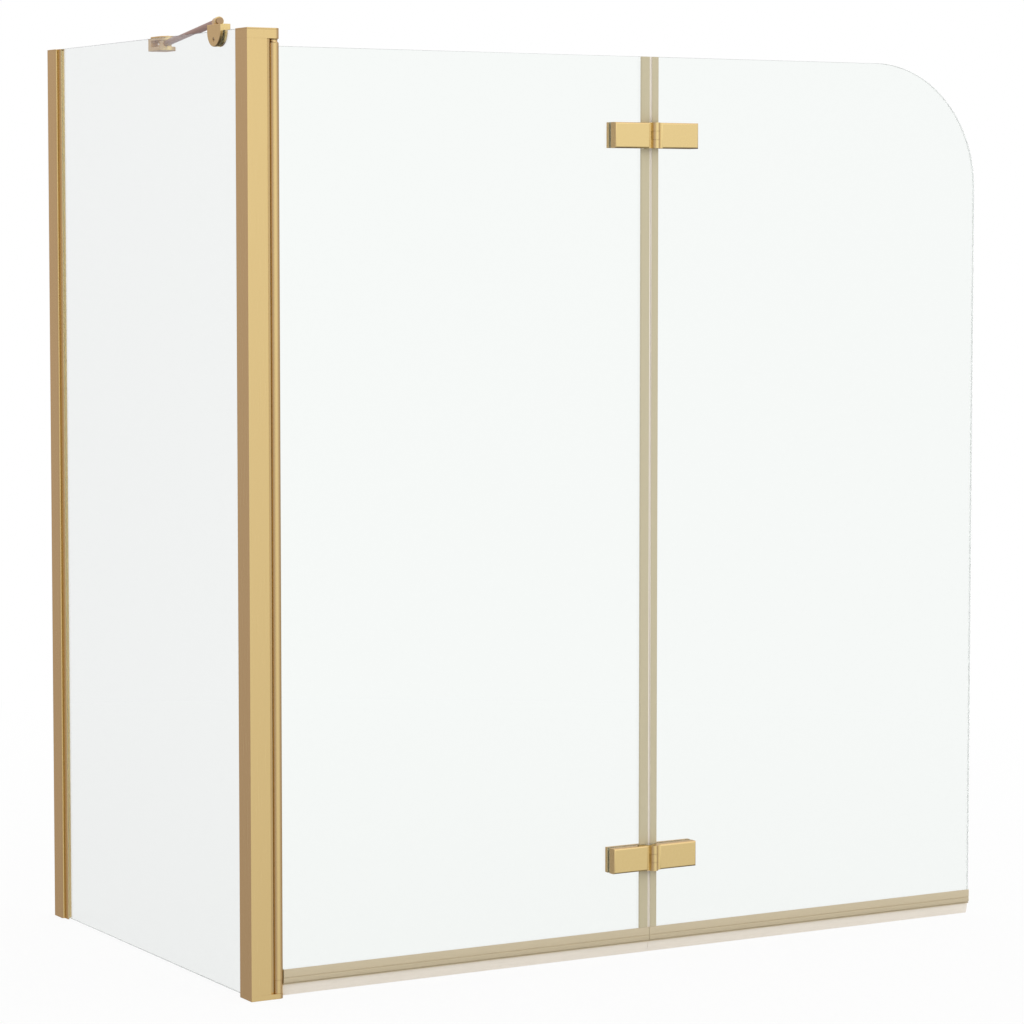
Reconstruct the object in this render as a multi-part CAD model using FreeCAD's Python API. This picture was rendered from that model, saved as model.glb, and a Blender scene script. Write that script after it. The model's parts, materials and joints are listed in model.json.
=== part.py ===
import FreeCAD, Part
import math
import os
from FreeCAD import Vector

# Bath shower enclosure: a fixed side glass between a wall channel and a corner post, and a front of
# two glass leaves. Leaf A turns on the stile beside the post, leaf B folds outwards on leaf A.
# The origin is the centre of the corner post's foot. +X runs along the leaves, +Y to the wall, +Z up.

# Overall sizes, in millimetres
overall_width = 1200.0
overall_depth = 687.0
overall_height = 1300.0
pivot_to_fold = 588.7

# Glass and what seats it
glass_thickness = 6.0
gasket_thickness = 1.0
glass_edge_gap = 1.0
side_glass_lift = 2.0
leaf_corner_radius = 180.0

# Corner post, a hollow extrusion with a channel for the side glass at its back
post_width = 29.4
post_depth = 36.0
post_wall = 1.8
post_channel_depth = 15.0
post_channel_wall = 1.8
glass_line_inset = 9.3
screw_port_radius = 4.2
post_screw_radius = 2.0
post_screw_head_radius = 4.0
post_screw_head_height = 2.4
post_screw_length = 30.0
post_screw_sink = 0.4
port_fit = 0.02
slot_clearance = 0.5
pivot_lip_setback = 4.0
pivot_lip_thickness = 3.0
pivot_lip_web = 0.8
pivot_lip_flat = 1.8
pivot_lip_gap = 0.4

# Top bracket with its cover, and foot plate: the post's outline with a nose over the pivot
top_cover_height = 2.0
top_bracket_height = 12.0
foot_plate_height = 7.0
nose_bore_skin = 2.0

# Hinge stile of leaf A, a round bar slotted for the glass
barrel_radius = 7.5
pivot_gap = 4.9
stile_slot_depth = 12.0
stile_glass_drop = 4.2
upper_bush_height = 5.0
lower_bush_height = 18.3
bush_radius = 7.2
bush_sleeve_radius = 5.5
bush_sleeve_depth = 5.0
pivot_float = 0.2
pivot_pin_radius = 4.0
pivot_running_fit = 0.05
pivot_pin_short = 1.0
pivot_tongue_length = 25.0
stile_screw_radius = 1.5
stile_screw_head_radius = 2.8
stile_screw_head_height = 1.4
stile_screw_length = 7.0
seat_fit = 0.02

# Bottom rails of the leaves and the drip lips in them
rail_foot_height = 17.7
rail_height = 20.7
rail_thickness = 10.0
rail_glass_bite = 8.7
rail_wall = 1.8
rail_groove_height = 9.3
rail_groove_depth = 0.8
rail_groove_width = 1.0
rail_start_gap = 0.4
lip_clearance = 2.1
lip_thickness = 1.6
lip_lean = 2.5
lip_root_width = 3.6
lip_root_height = 2.4
lip_neck_height = 1.2

# Vertical edge seals at the fold
seal_cover_a = 14.7
seal_cover_b = 11.5
seal_wall = 1.5
seal_bulb_a = 2.2
seal_bulb_b = 0.7
seal_bulb_thickness = 6.0
fold_seam = 0.6
seal_notch_gap = 0.4

# Folding hinges between the leaves
hinge_height = 36.0
upper_hinge_drop = 134.0
lower_hinge_rise = 140.0
front_plate_thickness = 12.0
back_plate_thickness = 8.0
plate_width_a = 58.0
plate_width_b = 62.5
plate_setback_a = 8.5
plate_setback_b = 9.5
plate_edge_radius = 2.5
fold_axis_proud = 0.4
knuckle_radius = 6.3
knuckle_gap = 0.3
knuckle_web_thickness = 5.5
knuckle_backing = 2.6
knuckle_backing_depth = 8.0
knuckle_swing_gap = 0.35
fold_pin_radius = 2.5
fold_running_fit = 0.05
hinge_screw_spacing = 30.0
hinge_screw_radius = 2.5
hinge_screw_head_radius = 4.5
hinge_screw_head_height = 3.0
hinge_screw_sink = 0.3
hinge_screw_bite = 7.0
glass_hole_radius = 5.0

# Wall channel and the adjusting profile that slides in it
wall_channel_width = 18.6
wall_channel_depth = 30.0
wall_channel_wall = 1.8
channel_lip = 3.8
channel_cap_height = 2.0
adjusting_protrusion = 11.0
adjusting_pocket_depth = 15.0
adjusting_wall = 1.3
adjusting_web = 1.6
adjusting_tail = 27.0
adjusting_foot_height = 2.0
adjusting_side_play = 0.15
adjusting_screw_radius = 1.9
adjusting_screw_head_radius = 3.6
adjusting_screw_head_height = 2.0
adjusting_screw_inset = 20.0
adjusting_screw_end = 150.0
adjusting_screw_count = 3
wall_screw_radius = 2.75
wall_screw_end = 90.0
wall_screw_count = 3

# Stabiliser bar, its clamp on the side glass and its bracket on the wall
bar_radius = 4.75
bar_wall = 1.0
bar_height_over_glass = 13.0
clamp_from_front = 107.0
clamp_half_length = 21.0
clamp_plate = 4.0
clamp_pad = 0.75
clamp_bridge_gap = 0.5
clamp_bridge_top = 9.0
clamp_edge_radius = 1.0
pad_inset = 1.0
socket_radius = 6.3
socket_front = 5.0
socket_back = 24.0
socket_fit = 0.03
bar_in_front = 12.0
end_plug_length = 2.0
end_plug_spigot = 8.0
grub_radius = 3.0
grub_below_glass_top = 11.5
grub_recess = 0.3
bar_grub_radius = 2.0
bar_grub_along = 16.0
wall_pivot_x = 182.2
wall_pivot_from_wall = 29.8
fork_half_width = 15.0
fork_height = 22.0
fork_slot = 9.6
fork_base = 10.0
fork_pin_radius = 3.0
fork_pin_dome = 1.0
fork_edge_radius = 1.0
eye_thickness = 9.0
eye_radius = 9.0
eye_neck = 18.0
eye_spigot = 20.0

overrun = 4.0

# Places worked out from the sizes above
post_left = -post_width / 2
post_right = post_width / 2
post_front = -post_depth / 2
post_back = post_depth / 2
wall_y = post_front + overall_depth
free_edge_x = post_left + overall_width
side_glass_x = post_left + glass_line_inset
leaf_y = post_front + barrel_radius
pivot_x = post_right + pivot_gap + barrel_radius
fold_x = pivot_x + pivot_to_fold
glass_half = glass_thickness / 2
pocket_half = glass_half + gasket_thickness
leaf_front = leaf_y - glass_half
leaf_back = leaf_y + glass_half

cover_bottom = overall_height - top_cover_height
bracket_bottom = cover_bottom - top_bracket_height
stile_top = bracket_bottom - upper_bush_height - pivot_float
stile_bottom = foot_plate_height + lower_bush_height + pivot_float
leaf_top = stile_top - stile_glass_drop
rail_top = rail_foot_height + rail_height
leaf_bottom = rail_top - rail_glass_bite

slot_floor_x = pivot_x + barrel_radius - stile_slot_depth
slot_mouth_x = pivot_x + math.sqrt(barrel_radius ** 2 - pocket_half ** 2)
leaf_a_left = slot_floor_x + glass_edge_gap
seal_a_end = fold_x - fold_seam / 2 - seal_bulb_a
seal_b_start = fold_x + fold_seam / 2 + seal_bulb_b
leaf_a_right = seal_a_end - seal_wall
leaf_b_left = seal_b_start + seal_wall
rail_a_left = pivot_x + barrel_radius + rail_start_gap

front_plate_back = leaf_front - gasket_thickness
front_plate_front = front_plate_back - front_plate_thickness
back_plate_front = leaf_back + gasket_thickness
back_plate_back = back_plate_front + back_plate_thickness
fold_y = front_plate_front - fold_axis_proud
hinge_levels = {"lower": lower_hinge_rise, "upper": overall_height - upper_hinge_drop}

channel_front = wall_y - wall_channel_depth
adjusting_front = channel_front - adjusting_protrusion
side_glass_front = post_back - post_channel_depth + glass_edge_gap
side_glass_back = adjusting_front + adjusting_pocket_depth - glass_edge_gap

bar_z = overall_height + bar_height_over_glass
clamp_centre = Vector(side_glass_x, post_front + clamp_from_front, bar_z)
wall_pivot = Vector(post_left + wall_pivot_x, wall_y - wall_pivot_from_wall, bar_z)
bar_run = wall_pivot.sub(clamp_centre)
bar_length = bar_run.Length
bar_way = Vector(bar_run).normalize()

along_x = Vector(1, 0, 0)
along_y = Vector(0, 1, 0)
up = Vector(0, 0, 1)
nodes = {}


def box(x0, x1, y0, y1, z0, z1):
    return Part.makeBox(x1 - x0, y1 - y0, z1 - z0, Vector(x0, y0, z0))


def rod(radius, length, start, way):
    return Part.makeCylinder(radius, length, start, way)


def joined(shapes):
    return shapes[0].multiFuse(shapes[1:]).removeSplitter()


def group(shapes):
    return Part.Compound(shapes)


def prism_along_x(points, x0, x1):
    corners = [Vector(x0, y, z) for y, z in points]
    face = Part.Face(Part.makePolygon(corners + corners[:1]))
    return face.extrude(Vector(x1 - x0, 0, 0))


def prism_upwards(points, z0, z1):
    corners = [Vector(x, y, z0) for x, y in points]
    face = Part.Face(Part.makePolygon(corners + corners[:1]))
    return face.extrude(Vector(0, 0, z1 - z0))


def edges_between(shape, low, high):
    chosen = []
    for edge in shape.Edges:
        middle = edge.valueAt((edge.FirstParameter + edge.LastParameter) / 2)
        inside = [low[i] < middle[i] < high[i] for i in range(len(low))]
        if all(inside):
            chosen.append(edge)
    return chosen


# A countersunk screw that points along way, its head's flat face at start
def sunk_screw(start, way, head_radius, head_height, shank_radius, length):
    head = Part.makeCone(head_radius, shank_radius, head_height, start, way)
    shank = rod(shank_radius, length, start, way)
    return joined([head, shank])


# The post's outline with the nose over the pivot, and the slot for the side glass
def post_outline(z0, height):
    z1 = z0 + height
    base = box(post_left, post_right, post_front, post_back, z0, z1)
    nose = box(post_left, pivot_x, post_front, post_front + 2 * barrel_radius, z0, z1)
    tip = rod(barrel_radius, height, Vector(pivot_x, leaf_y, z0), up)
    half = glass_half + slot_clearance
    slot_y = side_glass_front - slot_clearance
    slot = box(side_glass_x - half, side_glass_x + half, slot_y, post_back + overrun,
               z0 - overrun, z1 + overrun)
    return joined([base, nose, tip]).cut(slot)


def port_places():
    reach = post_wall / 2 + screw_port_radius
    front_port = (post_right - reach, post_front + reach)
    back_port = (post_right - reach, post_back - reach)
    return [front_port, back_port]


def make_corner_post():
    z0 = foot_plate_height
    z1 = bracket_bottom
    body = box(post_left, post_right, post_front, post_back, z0, z1)
    pocket_floor = post_back - post_channel_depth
    pocket_right = side_glass_x + pocket_half
    pocket = box(side_glass_x - pocket_half, pocket_right, pocket_floor, post_back + overrun,
                 z0 - overrun, z1 + overrun)
    front_left = post_left + post_wall
    front_room = box(front_left, post_right - post_wall, post_front + post_wall,
                     pocket_floor - post_channel_wall, z0 - overrun, z1 + overrun)
    back_room = box(pocket_right + post_channel_wall, post_right - post_wall,
                    pocket_floor - post_channel_wall, post_back - post_wall, z0 - overrun, z1 + overrun)
    left_room = box(front_left, side_glass_x - pocket_half - post_channel_wall,
                    pocket_floor - post_channel_wall, post_back - post_wall, z0 - overrun, z1 + overrun)
    shell = body.cut(pocket).cut(front_room).cut(back_room).cut(left_room)
    ports = [rod(screw_port_radius, z1 - z0, Vector(x, y, z0), up) for x, y in port_places()]
    trimmed = [port.common(body) for port in ports]
    # The lip's front slopes forward from a thin web at the post to its edge beside the barrel
    lip_front = post_front + pivot_lip_setback
    lip_back = lip_front + pivot_lip_thickness
    lip_room = barrel_radius + pivot_lip_gap
    lip_edge = pivot_x - math.sqrt(lip_room ** 2 - (leaf_y - lip_front) ** 2)
    lip_root = post_right - post_wall
    web_front = lip_back - pivot_lip_web
    lip = prism_upwards([(lip_root, lip_back), (lip_root, web_front), (post_right + pivot_lip_flat, web_front),
                         (lip_edge, lip_front), (pivot_x, lip_front), (pivot_x, lip_back)], z0, z1)
    barrel_room = rod(lip_room, z1 - z0, Vector(pivot_x, leaf_y, z0), up)
    post = joined([shell, lip.cut(barrel_room)] + trimmed)
    for x, y in port_places():
        bore = rod(post_screw_radius + port_fit, z1 - z0 + 2 * overrun, Vector(x, y, z0 - overrun), up)
        post = post.cut(bore)
    nodes["corner_post"] = post


def make_post_ends():
    bracket = post_outline(bracket_bottom, top_bracket_height)
    foot = post_outline(0, foot_plate_height)
    top_screws = []
    foot_screws = []
    for x, y in port_places():
        top_start = Vector(x, y, cover_bottom - post_screw_sink)
        foot_start = Vector(x, y, post_screw_sink)
        cone = (post_screw_head_radius, post_screw_head_height, post_screw_radius, post_screw_length)
        seat = (post_screw_head_radius + port_fit, post_screw_head_height, post_screw_radius + port_fit,
                post_screw_length)
        top_screws.append(sunk_screw(top_start, -up, *cone))
        foot_screws.append(sunk_screw(foot_start, up, *cone))
        bracket = bracket.cut(sunk_screw(top_start, -up, *seat))
        bracket = bracket.cut(rod(post_screw_head_radius + port_fit, overrun, top_start, up))
        foot = foot.cut(sunk_screw(foot_start, up, *seat))
        foot = foot.cut(rod(post_screw_head_radius + port_fit, overrun, foot_start, -up))
    upper_sleeve = Vector(pivot_x, leaf_y, bracket_bottom - overrun)
    seat_radius = bush_sleeve_radius + seat_fit
    upper_seat = rod(seat_radius, overrun + top_bracket_height - nose_bore_skin, upper_sleeve, up)
    lower_seat = rod(seat_radius, foot_plate_height, Vector(pivot_x, leaf_y, nose_bore_skin), up)
    nodes["post_top_bracket"] = bracket.cut(upper_seat)
    nodes["post_foot_plate"] = foot.cut(lower_seat)
    nodes["post_top_cover"] = post_outline(cover_bottom, top_cover_height)
    nodes["top_bracket_screws"] = group(top_screws)
    nodes["foot_plate_screws"] = group(foot_screws)


def make_pivot_bushes():
    bore = pivot_pin_radius + pivot_running_fit
    upper_foot = bracket_bottom - upper_bush_height
    sleeve_foot = foot_plate_height - bush_sleeve_depth
    upper = joined([
        rod(bush_radius, upper_bush_height, Vector(pivot_x, leaf_y, upper_foot), up),
        rod(bush_sleeve_radius, upper_bush_height + top_bracket_height - nose_bore_skin,
            Vector(pivot_x, leaf_y, upper_foot), up)])
    lower = joined([
        rod(bush_radius, lower_bush_height, Vector(pivot_x, leaf_y, foot_plate_height), up),
        rod(bush_sleeve_radius, bush_sleeve_depth, Vector(pivot_x, leaf_y, sleeve_foot), up)])
    height = upper_bush_height + top_bracket_height + lower_bush_height + overrun
    upper_bore = Vector(pivot_x, leaf_y, upper_foot - overrun)
    lower_bore = Vector(pivot_x, leaf_y, sleeve_foot - overrun)
    nodes["upper_pivot_bush"] = upper.cut(rod(bore, height, upper_bore, up))
    nodes["lower_pivot_bush"] = lower.cut(rod(bore, height + overrun, lower_bore, up))


# The tongue fills the stile's slot beyond the glass corner, and the pin runs on into the bush
def make_stile_pivot(name, root_z, way, pin_end_z):
    tongue_z = sorted([root_z, root_z - way * pivot_tongue_length])
    tongue = box(slot_floor_x, slot_mouth_x, leaf_y - pocket_half, leaf_y + pocket_half, *tongue_z)
    pin_start = Vector(pivot_x, leaf_y, root_z)
    pin = rod(pivot_pin_radius, abs(pin_end_z - root_z), pin_start, Vector(0, 0, way))
    screw_z = root_z - way * pivot_tongue_length / 2
    flush = math.sqrt(barrel_radius ** 2 - stile_screw_head_radius ** 2)
    head_start = Vector(pivot_x, leaf_y + flush, screw_z)
    sizes = (stile_screw_head_radius, stile_screw_head_height, stile_screw_radius, stile_screw_length)
    seats = (stile_screw_head_radius + seat_fit, stile_screw_head_height, stile_screw_radius + seat_fit,
             stile_screw_length)
    way_in = rod(stile_screw_head_radius + seat_fit, overrun, head_start, along_y)
    seat = joined([sunk_screw(head_start, -along_y, *seats), way_in])
    nodes[name] = joined([tongue, pin]).cut(seat)
    return sunk_screw(head_start, -along_y, *sizes), seat


def make_hinge_stile():
    upper_end = cover_bottom - nose_bore_skin - pivot_pin_short
    lower_end = foot_plate_height - bush_sleeve_depth + pivot_pin_short
    top_screw, top_seat = make_stile_pivot("upper_stile_pivot", stile_top, 1, upper_end)
    low_screw, low_seat = make_stile_pivot("lower_stile_pivot", stile_bottom, -1, lower_end)
    barrel = rod(barrel_radius, stile_top - stile_bottom, Vector(pivot_x, leaf_y, stile_bottom), up)
    slot = box(slot_floor_x, pivot_x + barrel_radius + overrun, leaf_y - pocket_half, leaf_y + pocket_half,
               stile_bottom - overrun, stile_top + overrun)
    nodes["hinge_stile"] = barrel.cut(slot).cut(top_seat).cut(low_seat)
    nodes["stile_pivot_screws"] = group([low_screw, top_screw])
    strips = []
    z0 = stile_bottom + pivot_tongue_length + glass_edge_gap
    z1 = stile_top - pivot_tongue_length - glass_edge_gap
    for inner, outer in ((-pocket_half, -glass_half), (glass_half, pocket_half)):
        strips.append(box(leaf_a_left, slot_mouth_x, leaf_y + inner, leaf_y + outer, z0, z1))
    nodes["stile_gaskets"] = group(strips)


def plate_middle(leaf):
    if leaf == "a":
        return fold_x - plate_setback_a - plate_width_a / 2
    return fold_x + plate_setback_b + plate_width_b / 2


def plate_span(leaf):
    half = (plate_width_a if leaf == "a" else plate_width_b) / 2
    return plate_middle(leaf) - half, plate_middle(leaf) + half


def hinge_screw_places(leaf, level):
    middle = plate_middle(leaf)
    return [(middle - hinge_screw_spacing / 2, level), (middle + hinge_screw_spacing / 2, level)]


def drill_glass(glass, leaf):
    for level in hinge_levels.values():
        for x, z in hinge_screw_places(leaf, level):
            start = Vector(x, leaf_front - overrun, z)
            glass = glass.cut(rod(glass_hole_radius, glass_thickness + 2 * overrun, start, along_y))
    return glass


def make_leaf_glass():
    glass_a = box(leaf_a_left, leaf_a_right, leaf_front, leaf_back, leaf_bottom, leaf_top)
    notch_right = slot_mouth_x + glass_edge_gap
    notch_low = stile_bottom + pivot_tongue_length + glass_edge_gap
    notch_high = stile_top - pivot_tongue_length - glass_edge_gap
    low_notch = box(leaf_a_left - overrun, notch_right, leaf_front - overrun, leaf_back + overrun,
                    leaf_bottom - overrun, notch_low)
    top_notch = box(leaf_a_left - overrun, notch_right, leaf_front - overrun, leaf_back + overrun,
                    notch_high, leaf_top + overrun)
    nodes["leaf_a_glass"] = drill_glass(glass_a.cut(low_notch).cut(top_notch), "a")
    glass_b = box(leaf_b_left, free_edge_x, leaf_front, leaf_back, leaf_bottom, leaf_top)
    corner = Vector(free_edge_x, leaf_y, leaf_top)
    near = glass_thickness
    edges = edges_between(glass_b, (corner.x - near, leaf_front, corner.z - near),
                          (corner.x + near, leaf_back, corner.z + near))
    nodes["leaf_b_glass"] = drill_glass(glass_b.makeFillet(leaf_corner_radius, edges), "b")


# A U of soft plastic on the glass edge with a bulb towards the fold, notched round the hinge plates
def edge_seal(edge_x, cover, bulb, way):
    half = glass_half + seal_wall
    cover_x = sorted([edge_x, edge_x - way * cover])
    body = box(cover_x[0], cover_x[1], leaf_y - half, leaf_y + half, rail_top, leaf_top)
    glass_x = sorted([edge_x - way * seal_wall, edge_x - way * (cover + overrun)])
    body = body.cut(box(*glass_x, leaf_front, leaf_back, rail_top - overrun, leaf_top + overrun))
    bulb_x = sorted([edge_x, edge_x + way * bulb])
    bulb_half = seal_bulb_thickness / 2
    bead = box(bulb_x[0], bulb_x[1], leaf_y - bulb_half, leaf_y + bulb_half, rail_top, leaf_top)
    return joined([body, bead])


def notch_seal(seal, leaf):
    low, high = plate_span(leaf)
    half_height = hinge_height / 2 + seal_notch_gap
    for level in hinge_levels.values():
        notch = box(low - overrun, high + seal_notch_gap, front_plate_front, back_plate_back,
                    level - half_height, level + half_height)
        if leaf == "b":
            notch = box(low - seal_notch_gap, high + overrun, front_plate_front, back_plate_back,
                        level - half_height, level + half_height)
        seal = seal.cut(notch)
    return seal


def make_edge_seals():
    seal_a = edge_seal(seal_a_end, seal_cover_a, seal_bulb_a, 1)
    seal_b = edge_seal(seal_b_start, seal_cover_b, seal_bulb_b, -1)
    nodes["leaf_a_edge_seal"] = notch_seal(seal_a, "a")
    nodes["leaf_b_edge_seal"] = notch_seal(seal_b, "b")


def make_bottom_rail(leaf, x0, x1):
    half = rail_thickness / 2
    y0 = leaf_y - half
    y1 = leaf_y + half
    rail = box(x0, x1, y0, y1, rail_foot_height, rail_top)
    long_x = (x0 - overrun, x1 + overrun)
    rail = rail.cut(box(*long_x, leaf_front, leaf_back, leaf_bottom, rail_top + overrun))
    room_top = leaf_bottom - rail_wall
    room_foot = rail_foot_height + lip_neck_height + lip_root_height + rail_wall
    rail = rail.cut(box(*long_x, y0 + rail_wall, y1 - rail_wall, room_foot, room_top))
    root_half = lip_root_width / 2
    neck_half = lip_thickness / 2
    root_z = rail_foot_height + lip_neck_height
    rail = rail.cut(box(*long_x, leaf_y - root_half, leaf_y + root_half, root_z, root_z + lip_root_height))
    rail = rail.cut(box(*long_x, leaf_y - neck_half, leaf_y + neck_half, rail_foot_height - overrun, root_z))
    groove_z = rail_foot_height + rail_groove_height
    for side_y, inner in ((y0, rail_groove_depth), (y1, -rail_groove_depth)):
        groove_y = sorted([side_y - inner, side_y + inner])
        rail = rail.cut(box(*long_x, groove_y[0], groove_y[1], groove_z - rail_groove_width / 2,
                            groove_z + rail_groove_width / 2))
    nodes["leaf_%s_bottom_rail" % leaf] = rail
    blade = prism_along_x([
        (leaf_y - neck_half, rail_foot_height), (leaf_y - neck_half + lip_lean, lip_clearance),
        (leaf_y + neck_half + lip_lean, lip_clearance), (leaf_y + neck_half, rail_foot_height)], x0, x1)
    neck = box(x0, x1, leaf_y - neck_half, leaf_y + neck_half, rail_foot_height, root_z)
    root = box(x0, x1, leaf_y - root_half, leaf_y + root_half, root_z, root_z + lip_root_height)
    nodes["leaf_%s_drip_lip" % leaf] = joined([blade, neck, root])


def hinge_plate(leaf, y0, y1, level, outer_face):
    x0, x1 = plate_span(leaf)
    half = hinge_height / 2
    plate = box(x0, x1, y0, y1, level - half, level + half)
    reach = plate_edge_radius
    return plate.makeFillet(plate_edge_radius, edges_between(
        plate, (x0 - reach, outer_face - reach, level - half - reach),
        (x1 + reach, outer_face + reach, level + half + reach)))


# Knuckles on the front plate: leaf A holds the outer thirds, leaf B the middle third
def knuckles(leaf, level):
    third = hinge_height / 3
    foot = level - hinge_height / 2
    gap = knuckle_gap / 2
    if leaf == "a":
        spans = [(foot, foot + third - gap), (foot + 2 * third + gap, foot + hinge_height)]
        web_x = (plate_span(leaf)[1] - plate_edge_radius, fold_x)
    else:
        spans = [(foot + third + gap, foot + 2 * third - gap)]
        web_x = (fold_x, plate_span(leaf)[0] + plate_edge_radius)
    solids = []
    for z0, z1 in spans:
        solids.append(rod(knuckle_radius, z1 - z0, Vector(fold_x, fold_y, z0), up))
        web_y = front_plate_front + knuckle_web_thickness
        solids.append(box(web_x[0], web_x[1], front_plate_front + fold_axis_proud, web_y, z0, z1))
    return solids


# Behind the other leaf's knuckles each front plate ends in a hollow that clears them
def knuckle_hollows(leaf, level):
    third = hinge_height / 3
    foot = level - hinge_height / 2
    gap = knuckle_gap / 2
    if leaf == "a":
        spans = [(foot + third - gap, foot + 2 * third + gap)]
        block_x = (plate_span(leaf)[1] - plate_edge_radius, fold_x - knuckle_backing)
    else:
        spans = [(foot, foot + third + gap), (foot + 2 * third - gap, foot + hinge_height)]
        block_x = (fold_x + knuckle_backing, plate_span(leaf)[0] + plate_edge_radius)
    solids = []
    for z0, z1 in spans:
        block = box(block_x[0], block_x[1], front_plate_front + fold_axis_proud,
                    front_plate_front + knuckle_backing_depth, z0, z1)
        room = rod(knuckle_radius + knuckle_swing_gap, z1 - z0, Vector(fold_x, fold_y, z0), up)
        solids.append(block.cut(room))
    return solids


def make_fold_hinge(name, level):
    foot = level - hinge_height / 2
    for leaf in ("a", "b"):
        front = hinge_plate(leaf, front_plate_front, front_plate_back, level, front_plate_front)
        front = joined([front] + knuckles(leaf, level) + knuckle_hollows(leaf, level))
        fit = fold_running_fit if leaf == "b" else seat_fit
        hole_start = Vector(fold_x, fold_y, foot - overrun)
        pin_hole = rod(fold_pin_radius + fit, hinge_height + 2 * overrun, hole_start, up)
        front = front.cut(pin_hole)
        back = hinge_plate(leaf, back_plate_front, back_plate_back, level, back_plate_back)
        for x, z in hinge_screw_places(leaf, level):
            start = Vector(x, back_plate_back - hinge_screw_sink, z)
            seat = sunk_screw(start, -along_y, hinge_screw_head_radius + seat_fit, hinge_screw_head_height,
                              hinge_screw_radius + seat_fit, hinge_screw_length() + seat_fit)
            mouth = rod(hinge_screw_head_radius + seat_fit, overrun, start, along_y)
            front = front.cut(seat)
            back = back.cut(seat).cut(mouth)
        nodes["%s_hinge_front_plate_%s" % (name, leaf)] = front
        nodes["%s_hinge_back_plate_%s" % (name, leaf)] = back
    pin = rod(fold_pin_radius, hinge_height, Vector(fold_x, fold_y, foot), up)
    nodes["%s_fold_pin" % name] = pin


def hinge_screw_length():
    return back_plate_back - hinge_screw_sink - front_plate_back + hinge_screw_bite


def make_hinge_fixings(leaf):
    x0, x1 = plate_span(leaf)
    half = hinge_height / 2
    gaskets = []
    screws = []
    for level in hinge_levels.values():
        for y0, y1 in ((front_plate_back, leaf_front), (leaf_back, back_plate_front)):
            gasket = box(x0, x1, y0, y1, level - half, level + half)
            for x, z in hinge_screw_places(leaf, level):
                hole = rod(hinge_screw_radius + seat_fit, gasket_thickness + 2 * overrun,
                           Vector(x, y0 - overrun, z), along_y)
                gasket = gasket.cut(hole)
            gaskets.append(gasket)
        for x, z in hinge_screw_places(leaf, level):
            start = Vector(x, back_plate_back - hinge_screw_sink, z)
            screws.append(sunk_screw(start, -along_y, hinge_screw_head_radius, hinge_screw_head_height,
                                     hinge_screw_radius, hinge_screw_length()))
    nodes["leaf_%s_hinge_gaskets" % leaf] = group(gaskets)
    nodes["leaf_%s_hinge_screws" % leaf] = group(screws)


def make_side_glass():
    nodes["side_glass"] = box(side_glass_x - glass_half, side_glass_x + glass_half, side_glass_front,
                              side_glass_back, side_glass_lift, overall_height)
    for name, y0, y1, z0, z1 in (
            ("post_glass_gaskets", side_glass_front, post_back, foot_plate_height, bracket_bottom),
            ("wall_glass_gaskets", adjusting_front, side_glass_back, 0, cover_bottom)):
        strips = []
        for inner, outer in ((-pocket_half, -glass_half), (glass_half, pocket_half)):
            strips.append(box(side_glass_x + inner, side_glass_x + outer, y0, y1, z0, z1))
        nodes[name] = group(strips)


# Heights of evenly spaced screws, the first and last one the same distance from the ends
def spread_heights(end, count):
    pitch = (overall_height - 2 * end) / (count - 1)
    return [end + step * pitch for step in range(count)]


def make_wall_channel():
    half = wall_channel_width / 2
    x0 = side_glass_x - half
    x1 = side_glass_x + half
    z1 = overall_height - channel_cap_height
    channel = box(x0, x1, channel_front, wall_y, 0, z1)
    channel = channel.cut(box(x0 + wall_channel_wall, x1 - wall_channel_wall,
                              channel_front + wall_channel_wall, wall_y - wall_channel_wall,
                              -overrun, z1 + overrun))
    channel = channel.cut(box(x0 + channel_lip, x1 - channel_lip, channel_front - overrun,
                              channel_front + wall_channel_wall + overrun, -overrun, z1 + overrun))
    for z in spread_heights(wall_screw_end, wall_screw_count):
        hole = rod(wall_screw_radius, wall_channel_wall + 2 * overrun,
                   Vector(side_glass_x, wall_y - wall_channel_wall - overrun, z), along_y)
        channel = channel.cut(hole)
    seat_start = x1 - wall_channel_wall - overrun
    screws = []
    adjusting = adjusting_profile(z1)
    for z in spread_heights(adjusting_screw_end, adjusting_screw_count):
        y = channel_front + adjusting_screw_inset - adjusting_foot_height
        hole = rod(adjusting_screw_radius + seat_fit, wall_channel_wall + 2 * overrun,
                   Vector(seat_start, y, z), along_x)
        channel = channel.cut(hole)
        adjusting = adjusting.cut(hole)
        flange_inner = side_glass_x + pocket_half
        shank = rod(adjusting_screw_radius, x1 - flange_inner, Vector(flange_inner, y, z), along_x)
        head = rod(adjusting_screw_head_radius, adjusting_screw_head_height, Vector(x1, y, z), along_x)
        screws.append(joined([shank, head]))
    nodes["wall_channel"] = channel
    nodes["adjusting_profile"] = adjusting
    nodes["adjusting_screws"] = group(screws)
    cap = box(x0, x1, channel_front, wall_y, z1, overall_height)
    outer = pocket_half + adjusting_wall
    tongue = box(side_glass_x - outer, side_glass_x + outer, adjusting_front, channel_front,
                 z1, overall_height)
    slot_half = glass_half + slot_clearance
    slot = box(side_glass_x - slot_half, side_glass_x + slot_half, adjusting_front - overrun,
               side_glass_back + slot_clearance, z1 - overrun, overall_height + overrun)
    nodes["wall_channel_cap"] = joined([cap, tongue]).cut(slot)


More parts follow.
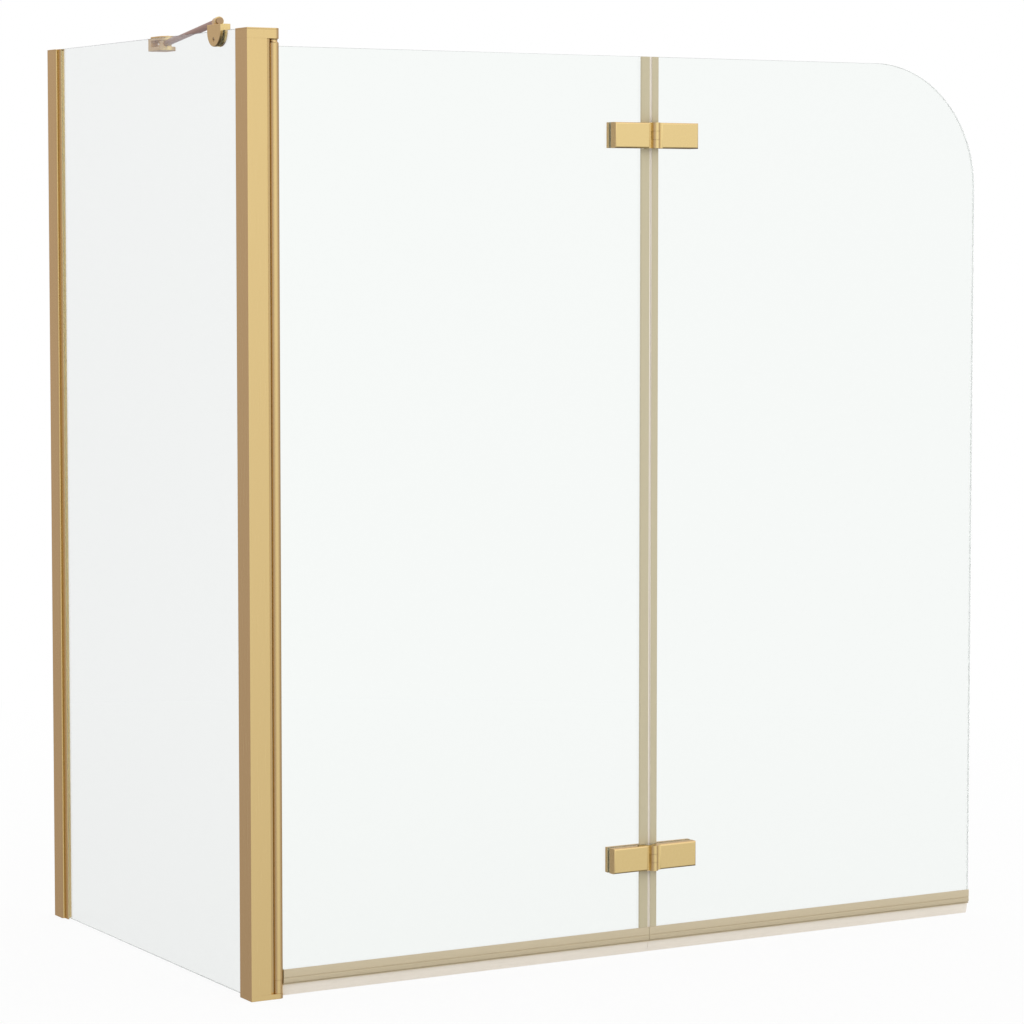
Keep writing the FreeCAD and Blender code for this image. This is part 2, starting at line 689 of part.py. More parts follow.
# A pocket for the glass, then two flanges that run back into the channel and end in guide feet
def adjusting_profile(top):
    outer = pocket_half + adjusting_wall
    back = adjusting_front + adjusting_pocket_depth
    tail = adjusting_front + adjusting_tail
    body = box(side_glass_x - outer, side_glass_x + outer, adjusting_front, tail, 0, top)
    foot_half = wall_channel_width / 2 - wall_channel_wall - adjusting_side_play
    foot = box(side_glass_x - foot_half, side_glass_x + foot_half, tail - adjusting_foot_height, tail, 0, top)
    profile = joined([body, foot])
    pocket = box(side_glass_x - pocket_half, side_glass_x + pocket_half, adjusting_front - overrun, back,
                 -overrun, top + overrun)
    room = box(side_glass_x - pocket_half, side_glass_x + pocket_half, back + adjusting_web, tail + overrun,
               -overrun, top + overrun)
    return profile.cut(pocket).cut(room)


# A saddle over the top edge of the side glass, with a socket that holds the bar
def make_stabiliser_clamp():
    inner = glass_half + clamp_pad
    outer = inner + clamp_plate
    y = clamp_centre.y
    top = overall_height + clamp_bridge_top
    far_y = (y - 2 * clamp_half_length, y + 2 * clamp_half_length)
    under = overall_height - 2 * clamp_half_length
    plate_round = rod(clamp_half_length, 2 * outer, Vector(side_glass_x - outer, y, overall_height), along_x)
    upper_block = box(side_glass_x - outer, side_glass_x + outer, y - clamp_half_length,
                      y + clamp_half_length, overall_height, top)
    over_top = box(side_glass_x - outer - overrun, side_glass_x + outer + overrun, *far_y,
                   top, top + 2 * clamp_half_length)
    saddle = joined([plate_round, upper_block]).cut(over_top)
    reach = clamp_edge_radius
    rounded = []
    for side in (-1, 1):
        face_x = side_glass_x + side * outer
        rounded += edges_between(saddle, (face_x - reach, far_y[0], under),
                                 (face_x + reach, far_y[1], top + reach))
    saddle = saddle.makeFillet(clamp_edge_radius, rounded)
    saddle = saddle.cut(box(side_glass_x - inner, side_glass_x + inner, *far_y,
                            under, overall_height + clamp_bridge_gap))
    socket_start = clamp_centre.sub(bar_way * socket_front)
    socket = rod(socket_radius, socket_front + socket_back, socket_start, bar_way)
    bore_start = clamp_centre.sub(bar_way * 2 * clamp_half_length)
    bore = rod(bar_radius + socket_fit, 2 * 2 * clamp_half_length, bore_start, bar_way)
    grub_start = Vector(side_glass_x - outer - overrun, y, overall_height - grub_below_glass_top)
    grub_hole = rod(grub_radius + seat_fit, clamp_plate + overrun, grub_start, along_x)
    bar_grub_start = clamp_centre.add(bar_way * bar_grub_along)
    side_way = Vector(-bar_way.y, bar_way.x, 0)
    bar_grub_hole = rod(bar_grub_radius + seat_fit, socket_radius + overrun, bar_grub_start, side_way)
    clamp = joined([saddle, socket]).cut(bore).cut(grub_hole).cut(bar_grub_hole)
    nodes["stabiliser_clamp"] = clamp
    grub_x = side_glass_x - outer + grub_recess
    nodes["clamp_grub_screw"] = rod(grub_radius, clamp_plate - grub_recess,
                                    Vector(grub_x, grub_start.y, grub_start.z), along_x)
    grub_foot = bar_grub_start.add(side_way * bar_radius)
    bar_grub_length = socket_radius - bar_radius - grub_recess
    nodes["bar_grub_screw"] = rod(bar_grub_radius, bar_grub_length, grub_foot, side_way)
    pads = []
    pad_radius = clamp_half_length - pad_inset
    for x in (side_glass_x - inner, side_glass_x + glass_half):
        pad = rod(pad_radius, clamp_pad, Vector(x, y, overall_height), along_x)
        pads.append(pad.cut(over_top_of_glass(y)))
    nodes["clamp_pads"] = group(pads)
    plug_seat = clamp_centre.sub(bar_way * bar_in_front)
    plug_cap = rod(bar_radius, end_plug_length, plug_seat.sub(bar_way * end_plug_length), bar_way)
    nodes["bar_end_plug"] = joined([
        plug_cap, rod(bar_radius - bar_wall, end_plug_spigot, plug_seat, bar_way)])


def over_top_of_glass(y):
    size = 2 * clamp_half_length
    return box(side_glass_x - size, side_glass_x + size, y - size, y + size,
               overall_height, overall_height + size)


def make_stabiliser_bar():
    start = clamp_centre.sub(bar_way * bar_in_front)
    length = bar_length + bar_in_front - eye_neck
    tube = rod(bar_radius, length, start, bar_way)
    nodes["stabiliser_bar"] = tube.cut(rod(bar_radius - bar_wall, length + 2 * overrun,
                                           start.sub(bar_way * overrun), bar_way))
    neck_start = clamp_centre.add(bar_way * (bar_length - eye_neck))
    spigot = rod(bar_radius - bar_wall, eye_spigot, neck_start.sub(bar_way * eye_spigot), bar_way)
    neck = rod(bar_radius, eye_neck, neck_start, bar_way)
    half = eye_thickness / 2
    eye_z = bar_z - half
    flat = box(-bar_length, 2 * bar_length, -bar_length, 2 * bar_length, eye_z, eye_z + eye_thickness)
    ring = rod(eye_radius, eye_thickness, Vector(wall_pivot.x, wall_pivot.y, eye_z), up)
    eye = joined([spigot, neck.common(flat), ring])
    pin_hole = rod(fork_pin_radius + seat_fit, eye_thickness + 2 * overrun,
                   Vector(wall_pivot.x, wall_pivot.y, eye_z - overrun), up)
    nodes["bar_end_eye"] = eye.cut(pin_hole)


def make_wall_bracket():
    z0 = bar_z - fork_height / 2
    z1 = z0 + fork_height
    x0 = wall_pivot.x - fork_half_width
    x1 = wall_pivot.x + fork_half_width
    base = box(x0, x1, wall_pivot.y, wall_y, z0, z1)
    tip = rod(fork_half_width, fork_height, Vector(wall_pivot.x, wall_pivot.y, z0), up)
    body = joined([base, tip])
    reach = fork_edge_radius
    rims = []
    for rim_z in (z0, z1):
        rims += edges_between(body, (x0 - reach, wall_pivot.y - 2 * fork_half_width, rim_z - reach),
                              (x1 + reach, wall_y - reach, rim_z + reach))
    body = body.makeFillet(fork_edge_radius, rims)
    slot = box(x0 - overrun, x1 + overrun, wall_pivot.y - 2 * fork_half_width, wall_y - fork_base,
               bar_z - fork_slot / 2, bar_z + fork_slot / 2)
    screw_hole = rod(wall_screw_radius, fork_base + 2 * overrun,
                     Vector(wall_pivot.x, wall_y - fork_base - overrun, bar_z), along_y)
    pin_hole = rod(fork_pin_radius + seat_fit, fork_height + 2 * overrun,
                   Vector(wall_pivot.x, wall_pivot.y, z0 - overrun), up)
    nodes["wall_bracket"] = body.cut(slot).cut(screw_hole).cut(pin_hole)
    pin = rod(fork_pin_radius, fork_height, Vector(wall_pivot.x, wall_pivot.y, z0), up)
    dome = Part.makeCone(fork_pin_radius, fork_pin_radius / 2, fork_pin_dome,
                         Vector(wall_pivot.x, wall_pivot.y, z1), up)
    nodes["wall_bracket_pin"] = joined([pin, dome])


def main():
    make_corner_post()
    make_post_ends()
    make_pivot_bushes()
    make_hinge_stile()
    make_leaf_glass()
    make_edge_seals()
    make_bottom_rail("a", rail_a_left, fold_x - fold_seam / 2)
    make_bottom_rail("b", fold_x + fold_seam / 2, free_edge_x)
    for name, level in hinge_levels.items():
        make_fold_hinge(name, level)
    for leaf in ("a", "b"):
        make_hinge_fixings(leaf)
    make_side_glass()
    make_wall_channel()
    make_stabiliser_clamp()
    make_stabiliser_bar()
    make_wall_bracket()
    os.makedirs("parts", exist_ok=True)
    for name, shape in nodes.items():
        shape.exportStep("parts/%s.step" % name)
        print(name, len(shape.Solids), "solids", round(shape.Volume), "mm3", "valid", shape.isValid())


main()
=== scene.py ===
import json
import math

import bmesh
import bpy
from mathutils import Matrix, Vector


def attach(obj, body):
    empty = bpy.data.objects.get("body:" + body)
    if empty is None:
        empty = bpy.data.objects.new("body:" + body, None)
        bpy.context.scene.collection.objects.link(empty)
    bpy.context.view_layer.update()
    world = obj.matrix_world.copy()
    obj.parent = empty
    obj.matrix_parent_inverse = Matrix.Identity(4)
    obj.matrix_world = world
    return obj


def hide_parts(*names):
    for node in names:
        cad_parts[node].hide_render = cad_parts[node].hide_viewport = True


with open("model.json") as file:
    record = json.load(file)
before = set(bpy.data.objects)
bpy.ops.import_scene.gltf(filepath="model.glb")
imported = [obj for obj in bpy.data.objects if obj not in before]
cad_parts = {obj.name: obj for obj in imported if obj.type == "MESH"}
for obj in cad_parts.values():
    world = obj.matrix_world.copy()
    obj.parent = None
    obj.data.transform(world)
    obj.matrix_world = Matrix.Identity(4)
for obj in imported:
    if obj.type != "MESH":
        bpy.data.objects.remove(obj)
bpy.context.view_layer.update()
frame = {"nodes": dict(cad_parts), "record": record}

# Bath shower enclosure: satin champagne gold metal, clear toughened glass, beige vinyl seals
mm = 0.001
nodes = frame["nodes"]
bodyOf = {node: body for body, members in frame["record"]["behaviour"]["bodies"].items() for node in members}
slotOf = {row["node"]: row["material_slot"] for row in frame["record"]["subparts"]}


# sRGB hex to linear, with an alpha of 1
def linear(hexColour):
    channels = [int(hexColour[i:i + 2], 16) / 255 for i in (1, 3, 5)]
    return [c / 12.92 if c <= 0.04045 else ((c + 0.055) / 1.055) ** 2.4 for c in channels] + [1.0]


# A setting is a property of the node, or else the value of its socket of that name
def addNode(tree, kind, settings, links=()):
    node = tree.nodes.new(kind)
    for name, value in settings.items():
        if hasattr(node, name):
            setattr(node, name, value)
        else:
            node.inputs[name].default_value = value
    for socket, source in links:
        tree.links.new(source, node.inputs[socket])
    return node


def newMaterial(name):
    material = bpy.data.materials.new(name)
    material.use_nodes = True
    material.node_tree.nodes.clear()
    return material, material.node_tree


# Satin metals, each with a fine pattern of its own. Size is the pattern's length in mm along X, Y and Z.
# Real die lines and blast grain are about 0.1 mm, too fine to show, so they are drawn coarser.
# goldExtrusion: anodised aluminium, fine die lines along its length
# goldCasting: blasted and plated zinc, an even fine grain
# bronze tube: drawn, brushed brass, browner than the castings; darkened as painted shade for dim reflections
# strawSteel: zinc plated steel with a straw passivate
metalLooks = {
    "champagne_aluminium": {
        "name": "goldExtrusion", "colour": "#dfc58c", "deep": "#d5ba80", "edge": "#fff6e2",
        "roughness": (0.22, 0.30), "size": (0.5, 0.5, 60), "bump": 0.012},
    "champagne_casting": {
        "name": "goldCasting", "colour": "#e8cf94", "deep": "#ddc587", "edge": "#fff6e2",
        "roughness": (0.22, 0.32), "size": (0.6, 0.6, 0.6), "bump": 0.010},
    # The tube's colour and deep tone are darker than the brass is, as painted shade for the dim reflections
    # along the bar
    "champagne_tube": {
        "name": "shadedBronzeTube", "colour": "#b59a76", "deep": "#a68b69", "edge": "#f0e6e0",
        "roughness": (0.24, 0.34), "size": (0.6, 0.6, 0.6), "bump": 0.008},
    "screw_steel": {
        "name": "strawSteel", "colour": "#cdb98c", "deep": "#b9a678", "edge": "#ffffff",
        "roughness": (0.25, 0.40), "size": (1.0, 1.0, 1.0), "bump": 0.006},
}


def makeMetal(look):
    material, tree = newMaterial(look["name"])
    place = addNode(tree, "ShaderNodeTexCoord", {})
    stretch = addNode(tree, "ShaderNodeMapping", {"Scale": [1 / (length * mm) for length in look["size"]]},
                      [("Vector", place.outputs["Object"])])
    grain = addNode(tree, "ShaderNodeTexNoise", {"Scale": 1.0, "Detail": 4.0, "Roughness": 0.6},
                    [("Vector", stretch.outputs["Vector"])])
    tint = addNode(tree, "ShaderNodeMixRGB",
                   {"Color1": linear(look["deep"]), "Color2": linear(look["colour"])},
                   [("Fac", grain.outputs["Fac"])])
    least, most = look["roughness"]
    rough = addNode(tree, "ShaderNodeMapRange", {"To Min": least, "To Max": most},
                    [("Value", grain.outputs["Fac"])])
    bump = addNode(tree, "ShaderNodeBump", {"Strength": 0.5, "Distance": look["bump"] * mm},
                   [("Height", grain.outputs["Fac"])])
    surface = addNode(tree, "ShaderNodeBsdfPrincipled",
                      {"Metallic": 1.0, "Specular Tint": linear(look["edge"])},
                      [("Base Color", tint.outputs["Color"]), ("Roughness", rough.outputs["Result"]),
                       ("Normal", bump.outputs["Normal"])])
    addNode(tree, "ShaderNodeOutputMaterial", {}, [("Surface", surface.outputs["BSDF"])])
    return material


# Toughened float glass, 6 mm: clear with a faint green cast. Lamps shine through it, and metal reflects the
# studio through it. Its ground and polished rim is pale green grey, in patches about 15 mm long.
floatGlass = {"colour": "#f6f9f7", "shade": "#fafcfb", "index": 1.5, "rim": "#f2f7f4", "rimDeep": "#e8f0ec",
              "rimRoughness": 0.12, "rimPatch": 15, "rimClear": 0.65}


def makeFloatGlass():
    look = floatGlass
    material, tree = newMaterial("clearFloatGlass")
    glass = addNode(tree, "ShaderNodeBsdfPrincipled",
                    {"Base Color": linear(look["colour"]), "Roughness": 0.0, "IOR": look["index"],
                     "Transmission Weight": 1.0})
    clear = addNode(tree, "ShaderNodeBsdfTransparent", {"Color": linear(look["shade"])})
    ray = addNode(tree, "ShaderNodeLightPath", {})
    outside = addNode(tree, "ShaderNodeMath", {"operation": "LESS_THAN"},
                      [(0, ray.outputs["Transmission Depth"])])
    pair = [(1, glass.outputs["BSDF"]), (2, clear.outputs["BSDF"])]
    lamps = addNode(tree, "ShaderNodeMixShader", {}, [(0, ray.outputs["Is Shadow Ray"])] + pair)
    reflections = addNode(tree, "ShaderNodeMixShader", {}, [(0, outside.outputs["Value"])] + pair)
    both = addNode(tree, "ShaderNodeMixShader", {},
                   [(0, ray.outputs["Is Glossy Ray"]), (1, lamps.outputs["Shader"]),
                    (2, reflections.outputs["Shader"])])
    addNode(tree, "ShaderNodeOutputMaterial", {}, [("Surface", both.outputs["Shader"])])
    return material


def makeGlassRim():
    look = floatGlass
    material, tree = newMaterial("polishedGlassRim")
    place = addNode(tree, "ShaderNodeTexCoord", {})
    patches = addNode(tree, "ShaderNodeTexNoise", {"Scale": 1 / (look["rimPatch"] * mm), "Detail": 2.0},
                      [("Vector", place.outputs["Object"])])
    tint = addNode(tree, "ShaderNodeMixRGB",
                   {"Color1": linear(look["rimDeep"]), "Color2": linear(look["rim"])},
                   [("Fac", patches.outputs["Fac"])])
    surface = addNode(tree, "ShaderNodeBsdfPrincipled",
                      {"Roughness": look["rimRoughness"], "IOR": look["index"],
                       "Transmission Weight": look["rimClear"]}, [("Base Color", tint.outputs["Color"])])
    addNode(tree, "ShaderNodeOutputMaterial", {}, [("Surface", surface.outputs["BSDF"])])
    return material


# Extruded vinyl and moulded rubber and nylon: slightly clouded, with faint flow lines along the length.
# Lines is the pattern's length in mm along X, Y and Z, drawn broader than real so that it shows.
plasticLooks = {
    "seal_vinyl": {
        "name": "beigeSealVinyl", "colour": "#cdc3a6", "deep": "#c3b999",
        "roughness": 0.42, "lines": (0.6, 0.6, 90)},
    "rail_vinyl": {
        "name": "beigeRailVinyl", "colour": "#d3c5a8", "deep": "#c7b898",
        "roughness": 0.38, "lines": (90, 0.6, 0.6)},
    "lip_vinyl": {
        "name": "softLipVinyl", "colour": "#f9f2e8", "deep": "#f1e9dc",
        "roughness": 0.45, "lines": (60, 1.5, 1.5)},
    "gasket_rubber": {
        "name": "paleGasketRubber", "colour": "#c3b998", "deep": "#b5ab8a",
        "roughness": 0.55, "lines": (2, 2, 40)},
    "bush_nylon": {
        "name": "goldBushNylon", "colour": "#cfb47a", "deep": "#c2a66c",
        "roughness": 0.42, "lines": (1.2, 1.2, 1.2)},
}


def makePlastic(look):
    material, tree = newMaterial(look["name"])
    place = addNode(tree, "ShaderNodeTexCoord", {})
    stretch = addNode(tree, "ShaderNodeMapping", {"Scale": [1 / (length * mm) for length in look["lines"]]},
                      [("Vector", place.outputs["Object"])])
    lines = addNode(tree, "ShaderNodeTexNoise", {"Scale": 1.0, "Detail": 3.0},
                    [("Vector", stretch.outputs["Vector"])])
    tint = addNode(tree, "ShaderNodeMixRGB",
                   {"Color1": linear(look["deep"]), "Color2": linear(look["colour"])},
                   [("Fac", lines.outputs["Fac"])])
    bump = addNode(tree, "ShaderNodeBump", {"Strength": 0.25, "Distance": 0.02 * mm},
                   [("Height", lines.outputs["Fac"])])
    surface = addNode(tree, "ShaderNodeBsdfPrincipled", {"Roughness": look["roughness"]},
                      [("Base Color", tint.outputs["Color"]), ("Normal", bump.outputs["Normal"])])
    addNode(tree, "ShaderNodeOutputMaterial", {}, [("Surface", surface.outputs["BSDF"])])
    return material


finishes = {"clear_glass": makeFloatGlass(), "glass_rim": makeGlassRim()}
for slotName, look in metalLooks.items():
    finishes[slotName] = makeMetal(look)
for slotName, look in plasticLooks.items():
    finishes[slotName] = makePlastic(look)
print("materials made:", len(finishes))


# Points closer than weld are one. Faces that meet at a smaller angle than smooth are shaded as one.
# A rounded corner has roundSteps, and one whose radius is over broadRadius has broadSteps.
meshing = {"weld": 0.001, "smooth": 40, "smoothMetal": 50,
           "roundSteps": 6, "broadRadius": 20, "broadSteps": 48}


# A finished piece stands for its CAD node and rides on the node's body.
# It takes the finish of the node's slot, or of another slot that is given.
def placePiece(name, bm, node, slot=None):
    slot = slot or slotOf[node]
    bmesh.ops.remove_doubles(bm, verts=bm.verts, dist=meshing["weld"] * mm)
    mesh = bpy.data.meshes.new(name)
    bm.to_mesh(mesh)
    bm.free()
    piece = bpy.data.objects.new(name, mesh)
    bpy.context.scene.collection.objects.link(piece)
    mesh.materials.append(finishes[slot])
    mesh.shade_smooth()
    mesh.set_sharp_from_angle(angle=math.radians(meshing["smooth"]))
    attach(piece, bodyOf[node])
    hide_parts(node)
    return piece


def breakEdges(bm, width, sharp=30, segments=2):
    edges = [e for e in bm.edges if e.is_manifold and e.calc_face_angle() > math.radians(sharp)]
    bmesh.ops.bevel(bm, geom=edges, offset=width * mm, segments=segments, profile=0.5, affect="EDGES",
                    material=-1, clamp_overlap=True)


# Cuts every tool out of the shape, or joins them to it
def carve(bm, tools, how="DIFFERENCE"):
    things = []
    for shape in [bm] + tools:
        thing = bpy.data.objects.new("carving", bpy.data.meshes.new("carving"))
        shape.to_mesh(thing.data)
        shape.free()
        bpy.context.scene.collection.objects.link(thing)
        things.append(thing)
    for tool in things[1:]:
        step = things[0].modifiers.new("step", "BOOLEAN")
        step.operation = how
        step.object = tool
        step.solver = "EXACT"
    result = bmesh.new()
    result.from_object(things[0], bpy.context.evaluated_depsgraph_get())
    for thing in things:
        bpy.data.meshes.remove(thing.data)
    return result


def block(low, high):
    bm = bmesh.new()
    bmesh.ops.create_cube(bm, size=1)
    size = [(b - a) * mm for a, b in zip(low, high)]
    middle = [(a + b) / 2 * mm for a, b in zip(low, high)]
    bmesh.ops.scale(bm, verts=bm.verts, vec=size)
    bmesh.ops.translate(bm, verts=bm.verts, vec=middle)
    return bm


# A round or many-sided rod from start, along way
def rod(radius, length, start, way, sides=48):
    bm = bmesh.new()
    bmesh.ops.create_cone(bm, cap_ends=True, segments=sides, radius1=radius * mm, radius2=radius * mm,
                          depth=length * mm)
    bmesh.ops.translate(bm, verts=bm.verts, vec=(0, 0, length * mm / 2))
    turn = Vector((0, 0, 1)).rotation_difference(Vector(way)).to_matrix()
    bmesh.ops.rotate(bm, verts=bm.verts, matrix=turn)
    bmesh.ops.translate(bm, verts=bm.verts, vec=Vector(start) * mm)
    return bm


# An outline in two axes, its named corners rounded, drawn out along the third
def drawnOut(points, axis, start, end, rounds=()):
    bm = bmesh.new()
    spots = []
    for a, b in points:
        place = {"X": (start, a, b), "Y": (a, start, b), "Z": (a, b, start)}[axis]
        spots.append(bm.verts.new(Vector(place) * mm))
    bm.faces.new(spots)
    for number, radius in rounds:
        steps = meshing["broadSteps"] if radius > meshing["broadRadius"] else meshing["roundSteps"]
        bmesh.ops.bevel(bm, geom=[spots[number]], offset=radius * mm, segments=steps, profile=0.5,
                        affect="VERTICES", material=-1)
    pulled = bmesh.ops.extrude_face_region(bm, geom=list(bm.faces))
    moved = [v for v in pulled["geom"] if isinstance(v, bmesh.types.BMVert)]
    way = {"X": (1, 0, 0), "Y": (0, 1, 0), "Z": (0, 0, 1)}[axis]
    bmesh.ops.translate(bm, verts=moved, vec=Vector(way) * (end - start) * mm)
    bmesh.ops.recalc_face_normals(bm, faces=bm.faces)
    return bm


# Places that the pieces share, in mm, as the CAD has them
fold = {"levels": (140, 1166), "halfHeight": 18, "boltSpread": 15, "middleA": 578.3, "middleB": 656.55}
leafY = -10.5


# How a CAD node's own shape is merged and its sharp edges broken: angles in degrees, lengths in mm.
# Measures that differ by less than near count as the same.
softEdge = {"segments": 2, "sharp": 35, "flat": 0.5, "weld": 0.002, "fine": 0.2, "near": 0.05}


# Castings and bushes at the ends of the post, finished to match it
matched = {"post_top_bracket": "champagne_aluminium", "post_foot_plate": "champagne_aluminium",
           "lower_pivot_bush": "champagne_aluminium", "upper_pivot_bush": "champagne_aluminium"}


def mergedShape(node):
    bm = bmesh.new()
    bm.from_mesh(nodes[node].data)
    bmesh.ops.remove_doubles(bm, verts=bm.verts, dist=softEdge["weld"] * mm)
    bmesh.ops.dissolve_limit(bm, angle_limit=math.radians(softEdge["flat"]), verts=bm.verts, edges=bm.edges)
    return bm


def softenedShape(node, width):
    bm = mergedShape(node)
    breakEdges(bm, width, softEdge["sharp"], softEdge["segments"])
    return bm


def same(a, b):
    return abs(a - b) < softEdge["near"]


def placeMetal(node, bm):
    piece = placePiece(node + "_shape", bm, node, matched.get(node))
    piece.data.set_sharp_from_angle(angle=math.radians(meshing["smoothMetal"]))
    piece.modifiers.new("faceNormals", "WEIGHTED_NORMAL").keep_sharp = True


# Sharp-cornered metal and small parts: the width is how far the edges are broken, in mm
softened = {"corner_post": 0.3, "post_top_bracket": 0.15, "post_top_cover": 0.3, "post_foot_plate": 0.3,
            "lower_pivot_bush": 0.4, "hinge_stile": 0.3, "upper_stile_pivot": 0.3, "lower_stile_pivot": 0.3,
            "stabiliser_clamp": 0.35, "wall_bracket": 0.3, "bar_end_eye": 0.4, "wall_bracket_pin": 0.4,
            "stabiliser_bar": 0.2, "bar_end_plug": 0.6, "lower_fold_pin": 0.4, "upper_fold_pin": 0.4}
for level in ("lower", "upper"):
    for leaf in "ab":
        softened["%s_hinge_back_plate_%s" % (level, leaf)] = 0.3
for node, width in softened.items():
    placeMetal(node, softenedShape(node, width))
print("metal shapes made:", len(softened))


# Front plates of the hinges: their top, bottom and outer rims have broad soft chamfers
plateRims = {"radius": 2.2, "segments": 2, "face": -26.5, "outerEnds": {"a": 549.3, "b": 687.8}}


def makeFrontPlates():
    for level, middle in zip(("lower", "upper"), fold["levels"]):
        for leaf in "ab":
            node = "%s_hinge_front_plate_%s" % (level, leaf)
            bm = mergedShape(node)

            def onRim(edge):
                spots = [v.co / mm for v in edge.verts]
                endRim = all(same(abs(s.z - middle), fold["halfHeight"]) for s in spots)
                outerRim = all(same(s.x, plateRims["outerEnds"][leaf]) for s in spots)
                return all(same(s.y, plateRims["face"]) for s in spots) and (endRim or outerRim)

            bmesh.ops.bevel(bm, geom=[e for e in bm.edges if onRim(e)], offset=plateRims["radius"] * mm,
                            segments=plateRims["segments"], profile=0.5, affect="EDGES", material=-1,
                            clamp_overlap=True)
            breakEdges(bm, softEdge["fine"], softEdge["sharp"], softEdge["segments"])
            placeMetal(node, bm)


makeFrontPlates()
print("front plates made: 4")


# Wall profiles: well rounded outer corners, and an inner jaw that stops short of the outer one
wallProfiles = {"wall_channel": {"corner": (-14.7, 639.0), "radius": 3.0},
                "wall_channel_cap": {"corner": (-14.7, 639.0), "radius": 3.0},
                "adjusting_profile": {"corner": (-10.7, 628.0), "radius": 1.6},
                "wall_glass_gaskets": {"corner": None}}
innerJaw = {"x": (-2.5, 9.5), "setBack": (620, 636.5), "z": (-20, 1400)}


def makeWallProfiles():
    for node, look in wallProfiles.items():
        bm = mergedShape(node)
        if look["corner"]:
            x, y = look["corner"]
            corner = [e for e in bm.edges
                      if all(same(v.co.x / mm, x) and same(v.co.y / mm, y) for v in e.verts)]
            bmesh.ops.bevel(bm, geom=corner, offset=look["radius"] * mm, segments=meshing["roundSteps"],
                            profile=0.5, affect="EDGES", material=-1, clamp_overlap=True)
            breakEdges(bm, softEdge["fine"], softEdge["sharp"], softEdge["segments"])
        if node in ("adjusting_profile", "wall_glass_gaskets"):
            low, high = zip(innerJaw["x"], innerJaw["setBack"], innerJaw["z"])
            bm = carve(bm, [block(low, high)])
        bmesh.ops.dissolve_degenerate(bm, edges=bm.edges, dist=meshing["weld"] * mm)
        placeMetal(node, bm)


makeWallProfiles()
print("wall profiles made: 4")


# The upper bush has a waist between the bracket and the stile: radius and height of each point
waist = {"x": 27.1, "steps": 64,
         "profile": [(0, 1281.0), (6.7, 1281.0), (6.2, 1281.5), (5.8, 1282.4),
                     (5.8, 1284.4), (6.2, 1285.5), (6.8, 1286.0), (0, 1286.0)]}


def makeUpperBush():
    bm = bmesh.new()
    x = waist["x"]
    spots = [bm.verts.new(Vector((x + out, leafY, z)) * mm) for out, z in waist["profile"]]
    edges = [bm.edges.new(pair) for pair in zip(spots, spots[1:])]
    bmesh.ops.spin(bm, geom=spots + edges, cent=Vector((x, leafY, 0)) * mm, axis=(0, 0, 1), dvec=(0, 0, 0),
                   angle=math.radians(360), steps=waist["steps"], use_merge=True)
    bmesh.ops.remove_doubles(bm, verts=bm.verts, dist=meshing["weld"] * mm)
    bmesh.ops.recalc_face_normals(bm, faces=bm.faces)
    placePiece("upper_pivot_bush_shape", bm, "upper_pivot_bush", matched["upper_pivot_bush"])


makeUpperBush()
print("upper bush made")


# Cutters for the sockets in the screw heads: hexagons that start a little above the heads
socketCutter = {"sides": 6, "lead": 1}

# The sockets: across flats, depth, and where the heads are and face
screwSockets = {
    "leaf_a_hinge_screws": {"flats": 4.0, "depth": 1.8, "way": (0, -1, 0), "heads": [
        (fold["middleA"] + side * fold["boltSpread"], 1.2, z) for side in (-1, 1) for z in fold["levels"]]},
    "leaf_b_hinge_screws": {"flats": 4.0, "depth": 1.8, "way": (0, -1, 0), "heads": [
        (fold["middleB"] + side * fold["boltSpread"], 1.2, z) for side in (-1, 1) for z in fold["levels"]]},
    "adjusting_screws": {"flats": 3.0, "depth": 1.2, "way": (-1, 0, 0), "heads": [
        (5.9, 657, z) for z in (150, 650, 1150)]},
    "clamp_grub_screw": {"flats": 2.5, "depth": 2.0, "way": (1, 0, 0), "heads": [(-12.85, 89, 1288.5)]},
    "foot_plate_screws": {"flats": 2.5, "depth": 1.4, "way": (0, 0, 1), "heads": [
        (9.6, -12.9, 0.4), (9.6, 12.9, 0.4)]},
}


def makeScrews():
    for node, look in screwSockets.items():
        tools = []
        radius = look["flats"] / 2 / math.cos(math.pi / socketCutter["sides"])
        for head in look["heads"]:
            start = Vector(head) - Vector(look["way"]) * socketCutter["lead"]
            tools.append(rod(radius, look["depth"] + socketCutter["lead"], start, look["way"],
                             socketCutter["sides"]))
        placePiece(node + "_shape", carve(softenedShape(node, softEdge["fine"]), tools), node)


makeScrews()
print("screws made:", len(screwSockets))


# The panes: polished arrises all round, a hair thinner than the pockets that hold them
panes = {"thickness": 5.9, "arris": 0.2, "sharp": 40, "largeFace": 0.9, "boltHole": 5.0, "drillLength": 12,
         "cornerRadius": 180,
         "side": {"x": -5.4, "y": (4, 642), "z": (2, 1300)},
         "leafA": {"x": (23.6, 33.9, 36.0, 611.8), "z": (29.8, 38.5, 51.5, 1254.8, 1276.6)},
         "leafB": {"x": (618.3, 1185.3), "z": (29.8, 1276.6)}}


